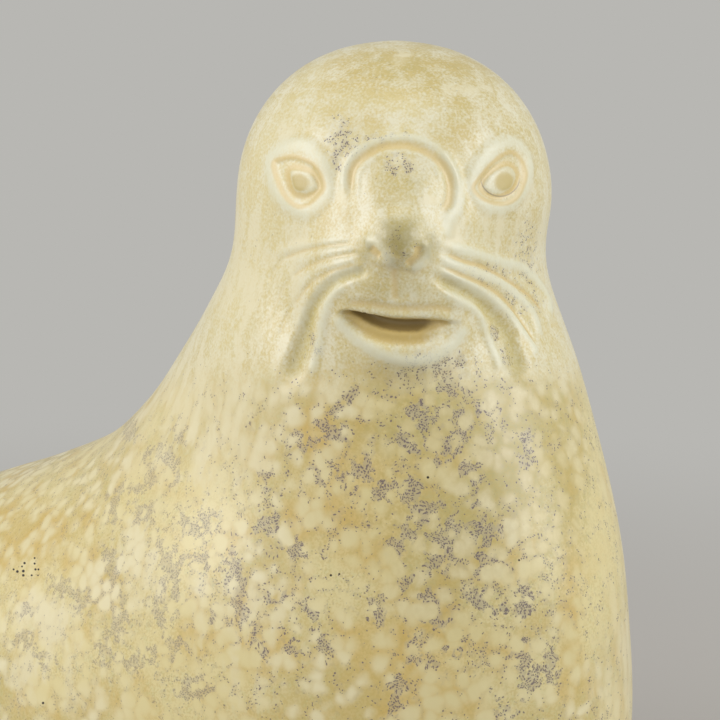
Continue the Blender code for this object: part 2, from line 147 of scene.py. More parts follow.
def trunkEllipses():
    radius, height = sealForm["headRadius"], sealForm["headHeight"]
    rows = sealForm["sections"] + [(radius, height, -radius, height, radius)]
    rows = smoothRows(rows, sealForm["ringsPerSection"])
    for step in range(1, sealForm["crownRings"] + 1):
        angle = sealForm["crownTop"] * step / sealForm["crownRings"]
        ring = radius * math.cos(angle) ** (2 / sealForm["squareness"])
        top = height + sealForm["headRise"] * math.sin(angle) ** (2 / sealForm["squareness"])
        rows.append((ring, top, -ring, top, ring))
    for backY, backZ, bellyY, bellyZ, halfWidth in rows:
        middle = Vector((0, backY + bellyY, backZ + bellyZ)) / 2
        rise = Vector((0, backY - bellyY, backZ - bellyZ)) / 2
        yield middle, Vector((halfWidth, 0, 0)), rise


def flipperEllipses(stations, side):
    rows = smoothRows(stations, sealForm["ringsPerSection"])
    middles = [Vector((side * row[0], row[1], row[2])) for row in rows]
    for index, row in enumerate(rows):
        ahead = middles[min(index + 1, len(rows) - 1)] - middles[max(index - 1, 0)]
        flat = Vector((ahead.y, -ahead.x, 0)).normalized()
        yield middles[index], flat * row[3], ahead.cross(flat).normalized() * row[4]


def smoothSkin(bm, verts, times):
    for _ in range(times):
        bmesh.ops.smooth_vert(bm, verts=verts, factor=0.5, use_axis_x=True, use_axis_y=True,
                              use_axis_z=True)


def fusedSkin():  # trunk and flippers grown into one closed skin
    bm = bmesh.new()
    loft(bm, trunkEllipses())
    for side in (-1, 1):
        loft(bm, flipperEllipses(sealForm["foreFlipper"], side))
        loft(bm, flipperEllipses(sealForm["hindFlipper"], side))
    bmesh.ops.recalc_face_normals(bm, faces=bm.faces)
    mesh = bpy.data.meshes.new("rough clay")
    bm.to_mesh(mesh)
    bm.free()
    rough = bpy.data.objects.new("rough clay", mesh)
    bpy.context.scene.collection.objects.link(rough)
    remesh = rough.modifiers.new("remesh", "REMESH")
    remesh.mode = "VOXEL"
    remesh.voxel_size = sealForm["voxel"]
    graph = bpy.context.evaluated_depsgraph_get()
    skin = bpy.data.meshes.new_from_object(rough.evaluated_get(graph))
    bm = bmesh.new()
    bm.from_mesh(skin)
    bpy.data.objects.remove(rough, do_unlink=True)
    bpy.data.meshes.remove(skin)
    smoothSkin(bm, bm.verts, sealForm["smoothing"])
    return bm


# The face: a drawing square from the front, in millimetres across and up from the head's middle

sealFace = {
    "turn": math.radians(50),
    "lift": math.radians(10),
    "unit": 0.001,  # metres in one step of the drawing
    "patch": (4, 40, -48, 17),  # least out, farthest across, lowest, highest
    "curveSteps": 8,
    "fadeLength": 0.12,  # share of a line over which its ends fade
    "endHeight": 0.3,
    "castFrom": 3,  # head radii out, where lines are dropped onto the skin from
    "lidTint": 0.8,  # how pale the eyelids are
    "fullTint": 0.45,  # height at which a line has its full colour
    "narrow": 2.1,  # half width above which a groove holds less colour
    # middle across and up, reach across and up, lift
    "swellings": [
        (0.8, -18.5, 30, 27, 8.8),  # muzzle
        (0.8, -11.5, 12, 9, 4),  # nose
        (0.8, 2, 15, 15, 2.5),  # bridge of the nose
        (0.8, -37, 17, 10, 1.2),  # chin
        (-13, -20, 15, 13, 1.8),  # whisker pads
        (15, -21, 15, 13, 1.8),
    ],
    "fullSwelling": 15,  # how far out of the head's middle the swellings are full
    # half width, height, then the points of each line
    "whiskers": [
        (1.7, 0.2, [(-10, -10.9), (-14.9, -11.2), (-20.1, -11.8), (-24.2, -12.5),
                     (-27.5, -13.4)]),
        (0.9, -0.26, [(-10.2, -11.8), (-16.5, -12.4), (-21.6, -13.3), (-25.6, -14.7)]),
        (1.7, 0.2, [(-10, -13), (-16.5, -13.8), (-23, -15.6)]),
        (0.9, -0.26, [(-8.9, -14), (-15.2, -15.1), (-20.3, -16.9), (-23.7, -18.9)]),
        (1.7, 0.2, [(-8.9, -15.5), (-15.2, -16.6), (-19, -18.3), (-22, -21.1)]),
        (0.9, -0.26, [(-8.9, -16.4), (-13.9, -17.7), (-18.5, -20), (-21.1, -22.5),
                      (-23.4, -25.5)]),
        (1.9, 0.28, [(-7.4, -17.4), (-12.7, -18.7), (-17, -21.6), (-19.9, -25.4),
                     (-22.3, -31.1)]),
        (2.2, 0.34, [(-11.5, -20.9), (-14.5, -23.7), (-16.5, -28.9), (-17.5, -34.6),
                     (-19.5, -41.6)]),
        (1, -0.16, [(-25.6, -14.7), (-27.9, -17.4), (-29, -20)]),
        (1, -0.18, [(-23.7, -18.9), (-26.1, -22.3), (-27.9, -26), (-30.1, -30.2)]),
        (1, -0.18, [(-23.4, -25.5), (-25.3, -28.9), (-26.5, -32.5)]),
        (2.2, 0.42, [(10.6, -12), (16.8, -13.6), (23.7, -15.3), (29.4, -16.6), (33, -19.2),
                     (35.4, -21.7), (36.7, -24.7), (36.1, -27.5)]),
        (1, -0.4, [(10.9, -14), (15.4, -15.7), (19.5, -16.6), (23.7, -18.5), (30.8, -22.5),
                      (34.9, -26.7)]),
        (2.2, 0.42, [(9.1, -15.1), (14.1, -16.8), (19.5, -18.7), (24.2, -20.3), (28.8, -23.6),
                     (32.2, -27.3), (34, -33.2)]),
        (1, -0.4, [(10.1, -17.1), (16.7, -19.6), (20.9, -21.2), (25.1, -24), (28.7, -28.4),
                      (33.1, -35)]),
        (2.2, 0.42, [(8, -17.4), (14.1, -19.6), (18.1, -21.8), (22.5, -24.3), (26.5, -27.7),
                     (29.2, -31.1), (31.9, -34.8), (32.2, -36.9)]),
        (2.2, 0.36, [(10.1, -22.5), (15.4, -25), (18.7, -27), (20.3, -30.9), (22.5, -36.1),
                     (24.1, -40.9)]),
    ],
    # a furrow has a half width at each end
    "furrows": [
        ((1.9, 3.9), -1.1, [(-6.4, -18), (-10.2, -18.7), (-13.9, -20.2), (-17, -23.1),
                             (-19.3, -26.6), (-20.6, -31.4), (-22.2, -36.4), (-24.6, -42.5)]),
        ((2.2, 4.6), -1.3, [(9.1, -19.5), (14.1, -22), (18.1, -23.9), (20.9, -26.2),
                             (23.7, -29), (25.9, -32.2), (27.4, -36.1), (29.4, -41)]),
    ],
    "brow": [
        (1.9, 0.34, [(-12, -1), (-11.7, 3), (-10.9, 6.3), (-8.3, 9.5), (-3.4, 11.6),
                     (0.9, 12.3), (5.1, 11.8), (9.2, 9.8), (12.2, 5.9), (14.1, 1.3)]),
        (2.6, 0.14, [(-11.5, -10), (-11.8, -5.3), (-11.8, 0.4), (-11.1, 5.9)]),
        (3, 0.34, [(9.2, 9.8), (12.2, 5.9), (14.1, 1.3), (13.8, -3.3), (11.6, -6.9),
                     (10.9, -11)]),
        (2.1, -0.36, [(-9.9, -1), (-10.1, 3.5), (-9.2, 6), (-6.9, 8.1), (-3.4, 10),
                      (0, 10.3), (2.8, 10.3), (6.9, 8.8), (10.6, 5.8), (12.1, 2.4),
                      (11.9, -2.3), (10, -4.9)]),
        (1.4, 0.2, [(-9, -2), (-8.4, 4.4), (-3.4, 8.3), (1.7, 9.2), (8, 6.9), (10.6, 1.2)]),
    ],
    "eyelids": [
        (3.1, 0.3, [(-28.9, 8.1), (-25.6, 10.7), (-21.2, 11), (-17.7, 8.3), (-15.4, 3.7),
                     (-15.9, -0.8), (-20.2, -4.4), (-25.3, -2.3), (-28.1, 2)]),
        (3, 0.4, [(17.2, 2.4), (19.1, 6.6), (22.7, 10.7), (27, 12.2), (30.4, 9.6), (30.9, 5),
                     (28.8, 0), (24.5, -3.2), (20, -2.5)]),
    ],
    # edge width, height, outline
    "sockets": [
        (1, -0.26, [(-27.9, 6.8), (-25.6, 8.2), (-22.8, 8.3), (-19.3, 6.8), (-17, 4),
                      (-16.5, 0.3), (-21.4, -3.1), (-25.5, 0)]),
        (1, -0.4, [(17.4, 0.8), (18.6, 3), (21.9, 6.8), (26.1, 9.7), (28.9, 8.1), (29.7, 4.4),
                      (27.8, -0.3), (24.4, -2.2), (20, -1.6)]),
    ],
    "eyeballs": [
        (1.4, 0.34, [(-24.6, 5.5), (-22.5, 6), (-18.8, 4.5), (-17.2, 0.9), (-20.2, -0.7),
                     (-23.4, 0.1), (-24.6, 2.9)]),
        (1.3, 0.42, [(19.3, 1.1), (21.1, 4.5), (25.3, 7), (27.6, 6.1), (28.3, 4), (26.9, 0.9),
                     (22.7, -0.9)]),
    ],
    "nose": [
        (1.7, -0.62, [(-5.8, -12.8), (-4.8, -13.9), (-3.7, -14.8)]),
        (1.7, -0.62, [(4.9, -12.5), (4.7, -14.5), (3.4, -15.9), (2.4, -16.8)]),
        (2.3, 0.34, [(-7, -11.2), (-5.4, -11.4), (-3.6, -12.6), (-2.1, -14.6), (-0.3, -16.4)]),
        (2.3, 0.34, [(6.6, -11.5), (6.9, -14.4), (5.4, -16.6), (3.2, -17.9)]),
        (1, -0.18, [(-6.6, -16.2), (-3.4, -17.4), (-0.4, -17.7), (3.3, -18.4), (6, -17.8),
                      (8.2, -16.6)]),
        (1.7, -0.32, [(-0.5, -17.7), (-0.4, -19.6), (-0.4, -22.3), (-0.3, -24.6)]),
    ],
    "lips": [
        (2.5, 0.5, [(-14.2, -27.6), (-12.2, -30.3), (-9.4, -33), (-5.9, -35.5), (-1.7, -37.3),
                     (2.6, -38.2), (7.3, -37.7), (11, -35.8), (13.8, -33.2), (16.6, -29.4)]),
        (1.6, -0.3, [(-11.3, -25.2), (-5.9, -25.5), (0.9, -26.4), (8.6, -26.2), (13.2, -26.9)]),
        (3.9, -0.3, [(-13, -38.6), (-5, -41.5), (2.2, -42.3), (9.5, -41.5), (16, -38.6)]),
    ],
    "mouthTop": [(-13.8, -27.5), (-11.5, -26.8), (-9.4, -27), (-4.3, -27.8), (-0.4, -28.2),
                 (4.7, -28.4), (10, -28.7), (13.9, -29.4), (16.3, -29.1)],
    "mouthBottom": [(-13.8, -27.5), (-11.5, -29.8), (-8.6, -32.6), (-4.8, -35), (0.9, -36.1),
                    (6.4, -35.7), (11, -33.7), (13.5, -31.4), (16.3, -29.1)],
    "mouthDepth": 3.6,
    "mouthFullHeight": 4.5,
    "mouthSlit": (0.18, 0.56, 0.32),  # where its edge, its end and its slope lie, top to bottom
    "mouthShelf": 0.4,  # depth of the floor before the slit
    "mouthRim": 0.32,
    "mouthShallow": (4.5, 6, 0.55),  # start across, length, share lost
    "toeGroove": (1.8, -0.9),  # half width and height
    # toe grooves on the flippers, left side, in metres
    "toes": [
        [(0.062, 0.01), (0.0655, 0.028), (0.069, 0.044)],
        [(0.069, 0.008), (0.073, 0.024), (0.0745, 0.04)],
        [(0.0555, 0.017), (0.059, 0.03), (0.064, 0.043)],
        [(0.014, 0.246), (0.019, 0.26), (0.023, 0.273)],
        [(0.021, 0.244), (0.027, 0.256), (0.031, 0.268)],
        [(0.009, 0.25), (0.012, 0.262), (0.016, 0.272)],
    ],
}

turn, lift = sealFace["turn"], sealFace["lift"]
outward = Vector((-math.sin(turn) * math.cos(lift), -math.cos(turn) * math.cos(lift),
                  math.sin(lift)))
across = Vector((math.cos(turn), -math.sin(turn), 0))
upward = outward.cross(across)
headMiddle = Vector((0, 0, sealForm["headHeight"]))
unit = sealFace["unit"]


def onDrawing(places):  # across, up and out from the head's middle
    return (places - np.array(headMiddle)) @ np.array((across, upward, outward)).T / unit


def swellFace(bm):  # the muzzle, nose and chin grow out of the round head
    u, v, out = onDrawing(placesOf(bm.verts)).T
    lifts = np.zeros(len(u))
    for middleU, middleV, reachU, reachV, height in sealFace["swellings"]:
        reach = ((u - middleU) / reachU) ** 2 + ((v - middleV) / reachV) ** 2
        lifts += height * np.clip(1 - reach, 0, 1) ** 2
    lifts *= smoothStep(out / sealFace["fullSwelling"])
    for vert, height in zip(bm.verts, lifts):
        vert.co += outward * (float(height) * unit)


def nearFace(verts):  # which of them lie on the drawing
    u, v, out = onDrawing(placesOf(verts)).T
    nearest, farthest, lowest, highest = sealFace["patch"]
    return (out > nearest) & (np.abs(u) < farthest) & (v > lowest) & (v < highest)


def nearFlippers(verts):
    x, y, z = np.abs(placesOf(verts).T)
    root, tip = sealForm["foreFlipper"][1], sealForm["foreFlipper"][-1]
    return ((x > root[0]) & (y < tip[1]) & (z < root[2])) | (y > sealForm["hindFlipper"][1][1])


def refine(bm, near, cuts, smoothing):  # a finer mesh where the carving needs it
    chosen = near(bm.verts)
    bm.verts.index_update()
    edges = [edge for edge in bm.edges if all(chosen[vert.index] for vert in edge.verts)]
    made = bmesh.ops.subdivide_edges(bm, edges=edges, cuts=cuts, use_grid_fill=True)
    fresh = [item for item in made["geom_inner"] if isinstance(item, bmesh.types.BMVert)]
    smoothSkin(bm, fresh, smoothing)


def cast(tree, starts, way):  # first meeting with the skin, or the skin nearest the end of a miss
    found = []
    for start in starts:
        hit = tree.ray_cast(start, way)[0]
        found.append(hit or tree.find_nearest(start + way)[0])
    return np.array([place[:] for place in found])


def distanceTo(places, line):  # distance to a line of points, and how far along it, 0 to 1
    best = np.full(len(places), np.inf)
    along = np.zeros(len(places))
    for index, (start, end) in enumerate(zip(line, line[1:])):
        step = end - start
        share = np.clip((places - start) @ step / max(step @ step, 1e-12), 0, 1)
        gap = np.linalg.norm(places - start - share[:, None] * step, axis=1)
        closer = gap < best
        best[closer] = gap[closer]
        along[closer] = (index + share[closer]) / (len(line) - 1)
    return best, along


def lineShare(places, line, halfWidth, closed=False):  # 1 on the line, 0 at its edges
    gap, along = distanceTo(places, line)
    start, end = halfWidth if isinstance(halfWidth, tuple) else (halfWidth, halfWidth)
    share = np.clip(1 - (gap / (unit * (start + (end - start) * along ** 1.5))) ** 2, 0, 1) ** 2
    if not closed:
        ends = np.minimum(along, 1 - along) / sealFace["fadeLength"]
        share *= smoothStep(sealFace["endHeight"] + ends)
    return share


def inside(points, outline):  # whether each point lies within a closed line
    found = np.zeros(len(points), bool)
    x, y = points[:, 0], points[:, 1]
    for (x0, y0), (x1, y1) in zip(outline, outline[1:] + outline[:1]):
        spans = (y0 > y) != (y1 > y)
        slope = (x1 - x0) / (y1 - y0 if y1 != y0 else 1e-9)
        found ^= spans & (x < x0 + slope * (y - y0))
    return found


def mouthShare(drawn):  # how deep the open mouth is at each place, 0 to 1
    top = smoothRows(sealFace["mouthTop"], sealFace["curveSteps"])
    bottom = smoothRows(sealFace["mouthBottom"], sealFace["curveSteps"])
    below = distanceTo(drawn, top)[0]
    above = distanceTo(drawn, bottom)[0]
    share = below / (below + above + 1e-9)
    edge, end, slope = sealFace["mouthSlit"]
    shelf = sealFace["mouthShelf"]
    depth = shelf + (1 - shelf) * smoothStep((end - share) / slope)
    depth *= smoothStep(share / edge) * smoothStep((1 - share) / sealFace["mouthRim"])
    depth *= smoothStep((below + above) / sealFace["mouthFullHeight"])
    start, length, loss = sealFace["mouthShallow"]
    depth *= 1 - loss * smoothStep((drawn[:, 0] - start) / length)
    return depth * inside(drawn, [tuple(row) for row in top + bottom[::-1]])


def raiseSkin(verts, normals, heights):
    for vert, normal, height in zip(verts, normals, heights):
        vert.co += normal * (float(height) * unit)


def writeShares(bm, verts, name, values):  # keeps a number at each place, for the material to read
    layer = bm.verts.layers.float[name]
    for vert, value in zip(verts, values):
        vert[layer] = float(value)


def carveFace(bm):  # cuts the drawing into the skin, and writes where each kind of line lies
    tree = BVHTree.FromBMesh(bm)
    bm.normal_update()
    chosen = nearFace(bm.verts)
    verts = [vert for vert, near in zip(bm.verts, chosen) if near]
    normals = [vert.normal.copy() for vert in verts]
    places = placesOf(verts)
    drawn = onDrawing(places)[:, :2]

    way = -sealFace["castFrom"] * sealForm["headRadius"] * outward

    def onSkin(points, closed):
        rows = smoothRows(points, sealFace["curveSteps"], closed)
        return cast(tree, [headMiddle + across * (u * unit) + upward * (v * unit) - way
                           for u, v in rows], way)

    relief = np.zeros(len(places))
    masks = {name: np.zeros(len(places)) for name in ("ridge", "groove", "furrow", "eyeball")}
    for group in ("whiskers", "furrows", "brow", "nose", "lips", "eyelids"):
        closed = group == "eyelids"
        for halfWidth, height, points in sealFace[group]:
            share = lineShare(places, onSkin(points, closed), halfWidth, closed)
            relief += height * share
            kind = "ridge" if height > 0 else "furrow" if group == "furrows" else "groove"
            tint = sealFace["lidTint"] if closed else min(1, abs(height) / sealFace["fullTint"])
            if kind == "groove":
                tint *= min(1, sealFace["narrow"] / halfWidth)  # wide hollows hold less colour
            masks[kind] = np.maximum(masks[kind], share * tint)
    for group in ("sockets", "eyeballs"):
        for edge, height, outline in sealFace[group]:
            rows = smoothRows(outline, sealFace["curveSteps"], True)
            gap = distanceTo(drawn, rows)[0]
            share = inside(drawn, [tuple(row) for row in rows]) * smoothStep(gap / edge)
            relief += height * share
            masks["groove"] = np.maximum(masks["groove"], np.clip(1 - gap / edge, 0, 1))
            if group == "eyeballs":
                masks["eyeball"] = np.maximum(masks["eyeball"], share)
    masks["mouth"] = mouthShare(drawn)
    relief -= sealFace["mouthDepth"] * masks["mouth"]
    raiseSkin(verts, normals, relief)
    for name, mask in masks.items():
        writeShares(bm, verts, name, mask)


def carveToes(bm):  # drops the toe grooves onto the flippers from above
    tree = BVHTree.FromBMesh(bm)
    bm.normal_update()
    verts = [vert for vert, near in zip(bm.verts, nearFlippers(bm.verts)) if near]
    normals = [vert.normal.copy() for vert in verts]
    places = placesOf(verts)
    relief = np.zeros(len(places))
    halfWidth, height = sealFace["toeGroove"]
    above = sealForm["foreFlipper"][1][2]
    for side in (-1, 1):
        for points in sealFace["toes"]:
            rows = smoothRows(points, sealFace["curveSteps"])
            starts = [Vector((side * x, y, above)) for x, y in rows]
            line = cast(tree, starts, Vector((0, 0, -above)))
            relief += height * lineShare(places, line, halfWidth)
    raiseSkin(verts, normals, relief)


# Where the glaze pooled, thinned or ran, and painted shade and highlights: soft dabs seen from the
# front of the face

glazeDabs = {
    "viewDistance": 700,  # in millimetres, as are the dabs
    "viewMiddle": (-8.16, -37.96),
    "turnAway": 3,  # how sharply the dabs end where the skin turns from the camera
    # across, up, reach across, reach up, amount
    "ochre": [
        (14.5, 14.5, 8, 6.5, 0.6),  # forehead
        (4, 30, 29, 11, 0.75),  # crown
        (-8, 19.5, 12, 7, 0.5),
        (2, 5.5, 9, 7, 0.45),
        (-15.5, -4, 8, 7, 0.5),  # cheek
        (-5.2, -20.2, 5, 3, 0.4),  # upper lip
        (6.2, -21, 5.5, 3, 0.4),
        (0.8, -31.8, 11, 3.6, 1),  # inside the lower lip
        (0.5, -11, 2.4, 6, 0.8),  # nose
        (26.2, 4.4, 3.4, 3.6, 1),  # eyes
        (-22.6, 4.2, 3.4, 3.4, 1),
        (-6, -67, 30, 30, 0.9),  # chest
        (4, -110, 26, 28, 0.95),
        (-87, -80, 24, 17, 0.8),  # body
        (-40, -104, 28, 15, 0.55),
        (42, -93, 5.5, 40, 0.9),  # run down the right side
        (37, -58, 5.5, 22, 0.55),
    ],
    # olive glaze on the nose, partly painted shade around its tip and nostrils
    "olive": [
        (0.6, -8, 7, 5, 1),  # tip of the nose: olive glaze, partly painted shade
        (-7.6, -12, 3.4, 4, 0.8),
        (8.6, -11, 3.4, 4.5, 0.8),
        (1.4, -14, 4.5, 4, 0.6),
    ],
    # khaki glaze, and painted shade on the nose, the chest and under the chin
    "khaki": [
        (2, -8.5, 10, 7, 0.95),  # nose: darker glaze, partly painted shade
        (2, 5, 10, 6, 0.5),
        (0.5, -21, 12, 4, 0.5),  # lips
        (2.5, -35.5, 12, 3.6, 0.35),
        (3, 31, 24, 9, 0.5),
        (12, -75, 26, 40, 0.6),  # middle of the chest: painted shade
        (8, -54, 24, 15, 0.75),
        (0, -44, 22, 7.5, 0.6),  # under the chin: painted shade of the chin's crease
        # right of the chest: painted shade
        (38, -66, 14, 34, 0.7),
        (29, -60, 16, 26, 0.9),
        (28, -46, 14, 12, 0.7),
        (-110, -80, 30, 20, 0.4),
    ],
    # pale glaze, with a painted highlight low on the left and painted rim light on the right edge
    "pale": [
        (1.4, 33.5, 4.5, 2.4, 0.8),
        (8.8, 0.3, 4, 1.8, 0.8),
        (17.6, 26.5, 10, 1.6, 0.7),
        (22, 21, 5, 1.3, 0.6),
        (-24, 18, 7, 5, 0.5),
        (-12, 0, 2.5, 5, 0.7),
        (-34, -22, 16, 26, 0.6),  # smooth neck
        (-38, -45, 18, 22, 0.5),
        (-46, -52, 16, 26, 0.6),
        (-34, -104, 18, 24, 0.38),
        (-80, -108, 22, 18, 0.4),
        (29, 4, 9, 9, 0.4),
        (25, -7, 14, 7, 0.6),  # right cheek
        (14.5, -8.5, 5, 5, 0.5),
        (-24, -9, 10, 6, 0.5),  # left cheek
        (-62.5, -86, 5, 14, 0.8),  # left side
        (-57, -86, 4, 15, 0.7),
        (-46.5, -90.5, 3.5, 4.5, 0.8),
        (-43, -66, 9, 6, 0.7),
        # painted highlight: a broad pale glow low on the left side
        (-83, -99, 12, 9, 0.9),
        (-88, -112, 12, 7, 0.7),
        (-74, -108, 8, 6, 0.6),
        (56, -75, 2.5, 30, 0.6),  # right edge: pale glaze streak, partly painted rim light
    ],
    "speckled": [
        (-13, 13.5, 4.5, 8, 1),
        (-6, 14, 7, 3, 0.6),
        (1.5, 8.5, 5, 4, 0.9),
        (0, 16, 6, 2.5, 0.6),
        (31, -13, 5, 11, 0.55),
        (22, -17.5, 9, 4, 0.65),
        (30, -24, 7, 6, 0.55),
        (11, -38.5, 11, 4, 1),
        (-19.5, -36, 3, 7, 0.9),
        (23.9, -31.5, 1.8, 3.6, 1),
        (26.6, -37, 2.4, 3.6, 1),
        (2, -11, 6, 7, 0.5),
        (8, -55, 28, 20, 0.9),
        (-14, -60, 14, 20, 0.7),
        (25, -95, 22, 34, 0.8),
        (-45, -90, 40, 40, 0.8),
        (-75, -62, 26, 14, 0.9),
        (-85, -110, 40, 24, 0.6),
    ],
    "stretched": [
        (-48, -48, 26, 34, 1),
        (-34, -20, 14, 36, 1),
        (56, -90, 13, 70, 1),
        (46, -30, 12, 30, 0.8),
    ],
    # thickest specks, as they lie in the camera's picture: middle and reach in its pixels
    "chains": [
        (141, 514, 16, 11), (114, 507, 9, 18), (112, 566, 13, 22), (112, 589, 12, 15),
        (118, 620, 11, 22), (207, 521, 9, 26), (189, 523, 12, 11), (171, 571, 12, 22),
        (170, 600, 17, 8), (161, 614, 9, 15), (232, 571, 9, 21), (239, 596, 11, 22),
        (241, 623, 15, 11), (171, 648, 17, 15), (230, 659, 11, 13), (104, 653, 11, 12),
        (139, 661, 20, 10), (45, 657, 11, 9), (23, 641, 13, 11), (148, 470, 9, 18),
        (159, 452, 12, 8), (132, 487, 15, 8), (180, 427, 8, 14), (171, 466, 8, 19),
        (266, 477, 8, 12), (268, 525, 14, 14), (259, 650, 11, 10), (161, 546, 8, 15),
        (198, 561, 14, 8), (218, 618, 8, 15), (130, 430, 8, 16), (85, 600, 16, 14),
        (60, 585, 12, 10), (30, 610, 14, 9), (195, 690, 22, 12), (420, 416, 14, 12),
        (408, 439, 9, 14), (435, 446, 24, 9), (460, 425, 13, 20), (440, 467, 11, 9),
        (467, 464, 15, 9), (328, 416, 15, 8), (332, 434, 16, 9), (300, 444, 9, 14),
        (327, 473, 16, 11), (362, 473, 15, 15), (410, 487, 13, 13), (387, 492, 15, 9),
        (424, 510, 19, 15), (412, 533, 18, 9), (398, 547, 9, 15), (451, 538, 15, 20),
        (472, 529, 20, 9), (474, 494, 8, 15), (437, 561, 15, 9), (488, 563, 15, 12),
        (401, 581, 15, 8), (428, 607, 15, 17), (440, 618, 9, 9), (378, 607, 11, 20),
        (525, 595, 9, 32), (495, 611, 11, 9), (479, 600, 13, 8), (518, 653, 13, 13),
        (529, 685, 13, 17), (550, 664, 11, 22), (456, 650, 10, 8), (414, 652, 8, 15),
        (398, 682, 8, 15), (433, 668, 8, 9), (295, 549, 13, 9), (281, 602, 15, 9),
        (265, 528, 10, 14), (295, 650, 8, 12), (313, 613, 9, 11), (488, 535, 13, 9),
        (527, 453, 8, 20), (506, 710, 11, 11), (323, 641, 9, 9), (398, 707, 10, 9),
        (415, 368, 15, 6), (450, 385, 20, 12), (490, 410, 14, 12), (345, 395, 16, 10),
    ],
    "chainFill": 1.25,  # how full each of them is in its middle
    "hiddenChain": (0.008, 2.4),  # size and fullness of those on the sides out of sight
    "mottledBelow": (-42, 14),  # height under which round mottles show, and its softness
    "raggedEdge": (0.016, 34),  # how that height wanders on the sides out of sight
    "octaves": (0.8, 2.1, 0.4),  # weight of the noise, then fineness and weight of one on top
    # slow changes of tone: size in metres, value at none and at full, place in the noise
    "drifts": {"drift": (0.03, -0.25, 0.3, 3.7), "clouds": (0.01, -0.15, 0.35, 5.3)},
}


def paintGlaze(bm):  # writes the dabs and tones into the skin, for the material to read
    u, v, out = onDrawing(placesOf(bm.verts)).T
    bm.normal_update()
    facing = np.array([vert.normal.dot(outward) for vert in bm.verts])
    shown = smoothStep(0.5 + glazeDabs["turnAway"] * facing)
    nearer = glazeDabs["viewDistance"] / (glazeDabs["viewDistance"] - out)
    middleU, middleV = glazeDabs["viewMiddle"]
    u = (u - middleU) * nearer + middleU
    v = (v - middleV) * nearer + middleV
    seen = bm.verts.layers.float_vector["seen"]
    for vert, place in zip(bm.verts, zip(u, v, shown)):
        vert[seen] = Vector(place)
    for name in ("ochre", "olive", "khaki", "pale", "speckled", "stretched"):
        amount = np.zeros(len(u))
        for middleU, middleV, reachU, reachV, strength in glazeDabs[name]:
            reach = ((u - middleU) / reachU) ** 2 + ((v - middleV) / reachV) ** 2
            amount = np.maximum(amount, strength * np.clip(1 - reach, 0, 1))
        writeShares(bm, bm.verts, name, amount * shown)
    headX, headY = camera["headAt"]
    perPixel = camera["perPixel"] * 1000
    pixelX, pixelY = u / perPixel + headX, headY - v / perPixel
    chain = np.zeros(len(u))
    for x, y, reachX, reachY in glazeDabs["chains"]:
        reach = ((pixelX - x) / reachX) ** 2 + ((pixelY - y) / reachY) ** 2
        chain = np.maximum(chain, np.clip(glazeDabs["chainFill"] - reach, 0, 1))
    size, fullness = glazeDabs["hiddenChain"]
    hidden = np.array([noise.noise(vert.co / size) for vert in bm.verts]) * fullness
    chain = chain * shown + np.clip(hidden, 0, 1) * (1 - shown)
    writeShares(bm, bm.verts, "chain", chain)
    for name, (size, low, high, origin) in glazeDabs["drifts"].items():
        weight, finer, lighter = glazeDabs["octaves"]
        tone = [noise.noise(vert.co / size + Vector((origin, 0, 0))) * weight
                + noise.noise(vert.co / size * finer + Vector((0, origin, 0))) * lighter
                for vert in bm.verts]
        writeShares(bm, bm.verts, name, np.clip((np.array(tone) - low) / (high - low), 0, 1))
    start, softness = glazeDabs["mottledBelow"]
    size, wander = glazeDabs["raggedEdge"]
    ragged = np.array([noise.noise(vert.co / size) for vert in bm.verts]) * wander * (1 - shown)
    softness = softness * (1 + 2 * (1 - shown))
    mottled = smoothStep((start - v + ragged) / softness + 0.5)
    writeShares(bm, bm.verts, "mottled", mottled)


def standOnFoot(bm):  # cut flat at the foot and centred over the origin
    cut = bmesh.ops.bisect_plane(bm, geom=bm.verts[:] + bm.edges[:] + bm.faces[:],
                                 plane_co=(0, 0, 0), plane_no=(0, 0, 1), clear_inner=True)
    rim = [item for item in cut["geom_cut"] if isinstance(item, bmesh.types.BMEdge)]
    bmesh.ops.triangle_fill(bm, edges=rim, use_beauty=True, normal=(0, 0, -1))
    bmesh.ops.recalc_face_normals(bm, faces=bm.faces)
    places = placesOf(bm.verts)
    middle = (places.min(axis=0) + places.max(axis=0)) / 2
    shift = Vector((-middle[0], -middle[1], 0))
    bmesh.ops.translate(bm, verts=bm.verts, vec=shift)
    return shift


skin = fusedSkin()
for name in ("ridge", "groove", "furrow", "eyeball", "mouth", "ochre", "olive", "khaki", "pale",
             "speckled", "stretched", "chain", "mottled", "drift", "clouds"):
    skin.verts.layers.float.new(name)
skin.verts.layers.float_vector.new("seen")
swellFace(skin)
print("clay shaped,", len(skin.faces), "faces")
refine(skin, nearFace, sealForm["faceCuts"], sealForm["faceSmoothing"])
refine(skin, nearFlippers, sealForm["flipperCuts"], sealForm["flipperSmoothing"])
carveFace(skin)
carveToes(skin)
paintGlaze(skin)
shift = standOnFoot(skin)
bmesh.ops.triangulate(skin, faces=[face for face in skin.faces if len(face.verts) > 4])
print("face carved,", sum(len(face.verts) - 2 for face in skin.faces), "triangles")
sealMesh = bpy.data.meshes.new("glazedSeal")
skin.to_mesh(sealMesh)
skin.free()
sealMesh.shade_smooth()
seal = bpy.data.objects.new("glazedSeal", sealMesh)
bpy.context.scene.collection.objects.link(seal)


# Materials

def operator(operation, reflected=False):
    def method(self, other):
        first, second = (other, self) if reflected else (self, other)
        return self.recipe.node("ShaderNodeMath", {"operation": operation}, {0: first, 1: second})

    return method


class Wire:  # a node's output that can be used in sums
    def __init__(self, recipe, socket):
        self.recipe = recipe
        self.socket = socket

    def other(self, name):  # another output of the same node
        return Wire(self.recipe, self.socket.node.outputs[name])

    __add__, __radd__ = operator("ADD"), operator("ADD", True)
    __sub__, __rsub__ = operator("SUBTRACT"), operator("SUBTRACT", True)
    __mul__, __rmul__ = operator("MULTIPLY"), operator("MULTIPLY", True)
    __truediv__, __rtruediv__ = operator("DIVIDE"), operator("DIVIDE", True)


